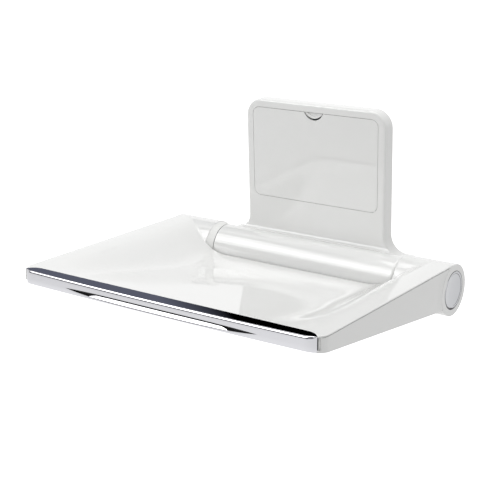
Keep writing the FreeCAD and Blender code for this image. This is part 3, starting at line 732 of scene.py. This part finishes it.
# Heights of the grip's upper edge, lower edge and ramp: full in the middle, lens 1, and meeting
# at the tips, lens 0, where lens is 1 - (across / half) to a power
def gripEdges(across):
    v = trim
    lens = np.clip(1 - (across / v["gripHalf"]) ** v["gripFull"], 0, 1)
    top = v["gripTip"] + (v["gripTop"] - v["gripTip"]) * lens
    low = v["gripTip"] - (v["gripTip"] - v["gripLow"]) * lens
    fill = np.clip((v["rampHalf"] - np.abs(across)) / v["rampEase"], 0, 1) ** v["rampRise"]
    ramp = low + np.clip(top - low - v["slot"], 0, None) * fill
    return top, low, ramp, lens


# Front and rear places of each station, the depth between them and the way inward
def trimStations():
    fine = np.linspace(search["from"], seat["trimEnd"], search["tries"])
    closed = outlineForward(fine) - trimLine(fine) < trim["tipDepth"]
    tip = fine[np.argmax(closed)] - trim["tipGap"]
    frontX, frontU = alongLine(outlineForward, tip)
    rearX, rearU = alongLine(trimLine, tip)
    depth = np.hypot(rearX - frontX, rearU - frontU)
    along = ((rearX - frontX) / depth, (rearU - frontU) / depth)
    return frontX, frontU, depth, along


# Section of the trim, inward depth and height: crowned top, round edge, face, slot, ramp of the
# grip, foot, underside
def makeTrim():
    v = trim
    frontX, frontU, depth, along = trimStations()
    top, low, ramp, lens = gripEdges(frontX)
    under = underside(frontU)
    r = np.minimum(v["topRound"], depth * v["roundMost"])
    s = np.linspace(0, 1, v["topRows"])[:, None]
    inward = depth - (depth - r) * s
    fall = depth - inward
    height = seat["rim"] - v["topSlope"] * fall - v["crown"] * (fall / v["crownSpan"]) ** 2
    a = np.radians(np.linspace(0, 90, v["roundRows"] + 1))[1:, None]
    roundIn = r - r * np.sin(a)
    roundUp = height[-1] - r * (1 - np.cos(a))
    s = np.linspace(0, 1, v["faceRows"])[1:, None]
    faceIn = np.zeros_like(s) * r
    faceUp = roundUp[-1] + (top - roundUp[-1]) * s
    slotDepth = np.minimum(v["rampDepth"], depth * v["rampMost"]) * lens ** 0.5
    s = np.linspace(0, 1, v["rampRows"])[:, None]
    rampIn = (ramp - low) * v["rampLean"] * (1 - s) + v["rampStep"] * lens
    rampUp = low + (ramp - low) * (1 - s)
    part = v["lowRound"] * v["footShare"]
    footIn = np.stack([0 * r, 0 * r, 0 * r + part, 0 * r + v["lowRound"], depth])
    rear = underside(frontU + along[1] * depth)
    footUp = np.stack([low - v["footDrop"], under + v["lowRound"], under + part, under, rear])
    sectionIn = np.concatenate([inward, roundIn, faceIn, [slotDepth, slotDepth], rampIn, footIn,
                                [depth]])
    sectionUp = np.concatenate([height, roundUp, faceUp, [top, ramp], rampUp, footUp,
                                height[:1]])
    body = toFrame(frontX + along[0] * sectionIn, frontU + along[1] * sectionIn, sectionUp)
    grids = [(body, True)]
    for end, flip in ((0, False), (-1, True)):
        middle = np.repeat(body[:, end].mean(axis=0)[None], body.shape[0], axis=0)
        grids.append((np.stack([body[:, end], middle], axis=1), flip))
    piece = seatPiece("trimBar", grids, "chrome_trim", sharp=v["sharp"])
    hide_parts("front_trim")


makeTrim()

# Painted shade: a dark sheet on the slot's roof and back, over the grip's whole length, that
# stands in for the shade in the recess. The shares keep it inside the slot where the grip runs out
# to its tips.
slotShadeSheet = {
    "tipInset": 0.3,
    "stations": 160,
    "crowd": 0.5,
    "wall": 1.0,
    "wallShare": 0.3,
    "roofGap": 0.03,
    "roofShare": 0.1,
    "backGap": 0.1,
    "backLeast": 0.45,
    "rampGap": 0.02,
    "lowGap": 0.05,
    "front": 0.2,
    "sharp": 30.0,
}


def makeSlotShadeSheet():
    v = slotShadeSheet
    half = trim["gripHalf"] - v["tipInset"]
    x = crowded(-half, half, v["stations"], v["crowd"])
    top, low, ramp, lens = gripEdges(x)
    skin = np.minimum(v["wall"], v["wallShare"] * (top - low))
    roof = top - np.minimum(v["roofGap"], v["roofShare"] * (top - low))
    back = np.maximum(trim["rampDepth"] * lens ** 0.5 - v["backGap"], v["backLeast"])
    drop = np.maximum(ramp + v["rampGap"], low + v["lowGap"])
    front = v["front"] + 0 * x
    rows = [(front, roof), (back, roof), (back, drop), (back - skin, drop),
            (back - skin, roof - skin), (front, roof - skin), (front, roof)]
    forward = np.stack([outlineForward(x) - depth for depth, height in rows])
    up = np.stack([np.minimum(np.maximum(height, drop), roof) for depth, height in rows])
    points = toFrame(np.stack([x] * len(rows)), forward, up)
    seatPiece("gripSlotShadeSheet", [(points, False)], "pad_rubber", sharp=v["sharp"])


makeSlotShadeSheet()

# Painted shade: a dark strip in the gap that parts each tip of the trim from the shell's corner,
# standing in for the gap's shadow
tipShadeLine = {"inner": 0.4, "outer": 1.2, "columns": 7, "inset": 0.22, "low": 1.6, "high": 1.4,
           "wall": 0.3}


def makeTipShadeLine(name, side):
    v = tipShadeLine
    x = np.linspace(seat["trimEnd"] - v["inner"], seat["trimEnd"] + v["outer"], v["columns"])
    forward = outlineForward(x) - v["inset"]
    up = np.stack([np.full_like(x, seat["rim"] - v["high"]), underside(forward) + v["low"]])
    points = toFrame(side * np.stack([x] * 2), np.stack([forward] * 2), up)
    wall(seatPiece(name, [(points, side > 0)], "bush_polymer"), v["wall"])


makeTipShadeLine("tipShadeLineRight", 1)
makeTipShadeLine("tipShadeLineLeft", -1)
print("front trim made")


# End caps: a dished disc with a rounded rim; a dark ring behind its edge is painted shade, seen
# as a shadow line and, at the bottom, a shadow crescent where the edge stands back from the
# ring. Gap is a table of the angle from the front upwards and how far the edge stands back.
cap = {
    "radius": 23.0,
    "place": 200.6,
    "dish": 1.5,
    "centre": 0.001,
    "rimRound": 0.8,
    "rimStep": 1.0,
    "back": 195.5,
    "backStep": 1.5,
    "faceRows": 16,
    "rimRows": 7,
    "columns": 180,
    "wall": 1.0,
    "shadeRingInner": 19.5,
    "shadeRingOuter": 23.15,
    "shadeRingDrop": 0.15,
    "shadeRingWall": 0.3,
    "gap": ((-180, 0.0), (-118, 0.0), (-98, 0.7), (-78, 2.2), (-58, 1.7), (-42, 1.3), (0, 1.3),
            (14, 0.9), (20, 0.0), (36, 0.0), (44, 1.0), (60, 1.3), (90, 0.8), (112, 0.0),
            (180, 0.0)),
    "gapPower": 6,
}


# Face of the cap: place less dish times (1 - share of the radius squared)
def makeCap(name, side, node):
    v = cap
    r = np.linspace(v["centre"], v["radius"] - v["rimRound"] - v["rimStep"], v["faceRows"])
    face = v["place"] - v["dish"] * (1 - (r / r[-1]) ** 2)
    a = np.radians(np.linspace(0, 90, v["rimRows"]))
    rimR = v["radius"] - v["rimRound"] + v["rimRound"] * np.sin(a)
    rimX = v["place"] - v["rimRound"] * (1 - np.cos(a))
    radius = columnOf(r, rimR, v["radius"], v["radius"] - v["backStep"])
    place = columnOf(face, rimX, v["back"], v["back"])
    degrees = np.linspace(-180, 180, v["columns"] + 1)
    gap = np.interp(degrees, *np.array(v["gap"]).T)[None, :]
    turn = np.radians(degrees)[None, :]
    radius = radius - gap * (radius / v["radius"]) ** v["gapPower"]
    piece = seatPiece(name, [(turned(side * place, radius, turn), side < 0)], "white_cap")
    wall(piece, v["wall"])
    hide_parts(node)
    # Painted shade: a dark ring behind the cap's edge, seen in the gap as a shadow line and
    # crescent
    radius = columnOf(v["shadeRingInner"], v["shadeRingOuter"])
    points = turned(side * (v["place"] - v["shadeRingDrop"]), radius, turn)
    wall(seatPiece(name + "Seal", [(points, side < 0)], "bush_polymer"), v["shadeRingWall"])


makeCap("capRight", 1, "end_cap_right")
makeCap("capLeft", -1, "end_cap_left")
print("end caps made")


# Soft blend that carries each side panel up to the edge of its end ring
blend = {
    "inner": 30.6,
    "outer": 47.0,
    "low": -44.0,
    "high": 78.0,
    "rise": 0.75,
    "skin": 0.02,
    "underGap": 0.3,
    "rimGap": 2.1,
    "fade": 4.0,
    "fadeLeast": 0.25,
    "columns": 60,
    "rows": 14,
    "wall": 0.6,
}


# Lift of the blend: rise times (1 - share outwards) squared, faded near the panel's two edges
def makeBlend(name, side):
    v = blend
    t = np.linspace(0, 1, v["rows"])[:, None]
    turn = np.radians(np.linspace(v["low"], v["high"], v["columns"]))[None, :]
    radius = v["inner"] + (v["outer"] - v["inner"]) * t
    forward = radius * np.cos(turn)
    bottom = underside(forward) + v["underGap"]
    top = seat["rim"] - v["rimGap"]
    up = np.clip(radius * np.sin(turn), bottom, top)
    fade = np.clip(np.minimum(up - bottom, top - up) / v["fade"], 0, 1)
    lift = v["rise"] * (1 - t) ** 2 * easePlain(v["fadeLeast"] + fade)
    points = toFrame(side * (seat["half"] - v["skin"] + lift), forward, up)
    wall(seatPiece(name, [(points, side < 0)], "white_shell"), v["wall"])


makeBlend("ringBlendRight", 1)
makeBlend("ringBlendLeft", -1)
print("side blends made")


# Studio: pale floor, white sky, soft boxes, and cards that only mirror reflections see
studio = {
    "floorHeight": -0.62,
    "floorReach": 12.0,
    "floorColour": (0.9, 0.9, 0.9, 1),
    "floorShade": (0.88, 0.88, 0.88, 1),
    "floorGrain": (60.0, 4.0),
    "floorRoughness": 0.9,
    "floorGlow": 0.75,
    "floorMirrored": 0.5,
    "white": (1, 1, 1, 1),
    "skyStrength": 0.56,
    # Name, place, target, width and height in metres, power in watts
    "lamps": [
        ("topBox", (0.0, 0.1, 1.6), (0.0, -0.15, -0.1), 1.5, 1.1, 12.0),
        ("leftBox", (-1.0, -1.4, 1.1), (0.0, -0.1, -0.1), 1.1, 0.9, 8.0),
    ],
    "cardReach": 4.0,
    "cardColumns": 30,
    "cardRows": 8,
    # Where the first colour turns into the last, sideways and upwards, and how steeply
    "cardTurn": ((0.58, 16.0), (0.53, 3.0)),
    # Name, four corners as (azimuth from the back towards the left, elevation): low near, low
    # far, high near and high far; then the first and the last colour
    "cards": [
        ("backCard", ((32.0, 33.0), (78.0, 23.0), (40.0, 52.0), (85.0, 50.0)),
         (0.0, 0.0, 0.0), (0.15, 0.16, 0.21)),
        ("frontCard", ((118.0, -3.0), (176.0, -3.0), (118.0, 22.0), (176.0, 22.0)),
         (0.2, 0.2, 0.21), (0.2, 0.2, 0.21)),
        ("brightCard", ((107.0, 33.0), (161.0, 33.0), (107.0, 54.0), (161.0, 54.0)),
         (3.4, 3.4, 3.4), (3.4, 3.4, 3.4)),
        ("leftTipCard", ((86.0, 25.0), (106.0, 25.0), (88.0, 62.0), (106.0, 62.0)),
         (0.1, 0.1, 0.11), (0.1, 0.1, 0.11)),
        ("rightTipCard", ((163.0, 8.0), (235.0, 8.0), (163.0, 62.0), (235.0, 62.0)),
         (0.14, 0.14, 0.15), (0.14, 0.14, 0.15)),
    ],
}


def makeLamp(name, place, target, width, height, power):
    data = bpy.data.lights.new(name, "AREA")
    data.shape = "RECTANGLE"
    data.size = width
    data.size_y = height
    data.energy = power
    lamp = bpy.data.objects.new(name, data)
    aim = (Vector(target) - Vector(place)).to_track_quat("-Z", "Y")
    lamp.matrix_world = Matrix.Translation(Vector(place)) @ aim.to_matrix().to_4x4()
    scene.collection.objects.link(lamp)


# A mesh of the studio, which isn't part of the object
def stagePiece(name, points, faces, finish):
    mesh = bpy.data.meshes.new(name)
    mesh.from_pydata(points, [], faces)
    piece = bpy.data.objects.new(name, mesh)
    scene.collection.objects.link(piece)
    mesh.materials.append(finish.owner)
    return piece


# Card: a patch of a large sphere round the seat, which glossy rays alone see
def makeCard(name, corners, first, last):
    reach, rows, columns = studio["cardReach"], studio["cardRows"], studio["cardColumns"]
    side, rise = np.meshgrid(np.linspace(0, 1, columns), np.linspace(0, 1, rows))
    shares = [(1 - side) * (1 - rise), side * (1 - rise), (1 - side) * rise, side * rise]
    corners = [np.radians(np.array(corner)) for corner in corners]
    azimuth = sum(corner[0] * share for corner, share in zip(corners, shares))
    elevation = sum(corner[1] * share for corner, share in zip(corners, shares))
    points = np.stack([-np.sin(azimuth) * np.cos(elevation),
                       np.cos(azimuth) * np.cos(elevation), np.sin(elevation)], axis=-1) * reach
    finish = Finish(bpy.data.materials.new(name + "Glow"))
    apart = finish.add("ShaderNodeSeparateXYZ", Vector=finish.coords)
    leftward = finish.field(apart.outputs["X"]) * (-1 / reach)
    upward = finish.field(apart.outputs["Z"]) * (1 / reach)
    (turnSide, steepSide), (turnUp, steepUp) = studio["cardTurn"]
    share = (leftward - turnSide) * steepSide + (upward - turnUp) * steepUp
    colour = colourMix(finish, share, first + (1,), last + (1,))
    glow = finish.add("ShaderNodeEmission", Color=colour, Strength=1.0)
    finish.surface(glow.outputs[0])
    card = stagePiece(name, points.reshape(-1, 3).tolist(), gridFaces(rows, columns).tolist(),
                      finish)
    card.visible_camera = False
    card.visible_diffuse = False
    card.visible_shadow = False
    card.visible_transmission = False


# Largest of the light path's camera, glossy and transmission shares: rays that see the white
# background
def backgroundRays(finish, mirrored=1.0):
    paths = finish.add("ShaderNodeLightPath")
    rays = finish.field(paths.outputs["Is Camera Ray"])
    for kind, share in (("Is Glossy Ray", mirrored), ("Is Transmission Ray", 1.0)):
        rays = rays.maths("MAXIMUM", finish.field(paths.outputs[kind]) * share)
    return rays


# Floor: pale paper that also glows for the rays that see the background
def makeFloor(values):
    finish = Finish(bpy.data.materials.new("studioPaper"))
    grain = noise(finish, *values["floorGrain"])
    finish.set(Base_Color=colourMix(finish, grain, values["floorColour"], values["floorShade"]),
               Roughness=values["floorRoughness"])
    glow = finish.add("ShaderNodeEmission", Color=values["white"], Strength=values["floorGlow"])
    both = finish.add("ShaderNodeAddShader")
    finish.put(both.inputs[0], finish.shader.outputs[0])
    finish.put(both.inputs[1], glow.outputs[0])
    mix = finish.add("ShaderNodeMixShader")
    finish.put(mix.inputs[0], backgroundRays(finish, values["floorMirrored"]))
    finish.put(mix.inputs[1], finish.shader.outputs[0])
    finish.put(mix.inputs[2], both.outputs[0])
    finish.surface(mix.outputs[0])
    reach, z = values["floorReach"], values["floorHeight"]
    corners = [(-reach, -reach, z), (reach, -reach, z), (reach, reach, z), (-reach, reach, z)]
    stagePiece("studioFloor", corners, [(0, 1, 2, 3)], finish)


def makeStudio(values):
    makeFloor(values)
    world = bpy.data.worlds.new("studioSky")
    scene.world = world
    sky = Finish(world, "Background")
    strength = values["skyStrength"] + backgroundRays(sky) * (1 - values["skyStrength"])
    sky.set(Color=values["white"], Strength=strength)
    for lamp in values["lamps"]:
        makeLamp(*lamp)
    for card in values["cards"]:
        makeCard(*card)


makeStudio(studio)
print("studio lit")
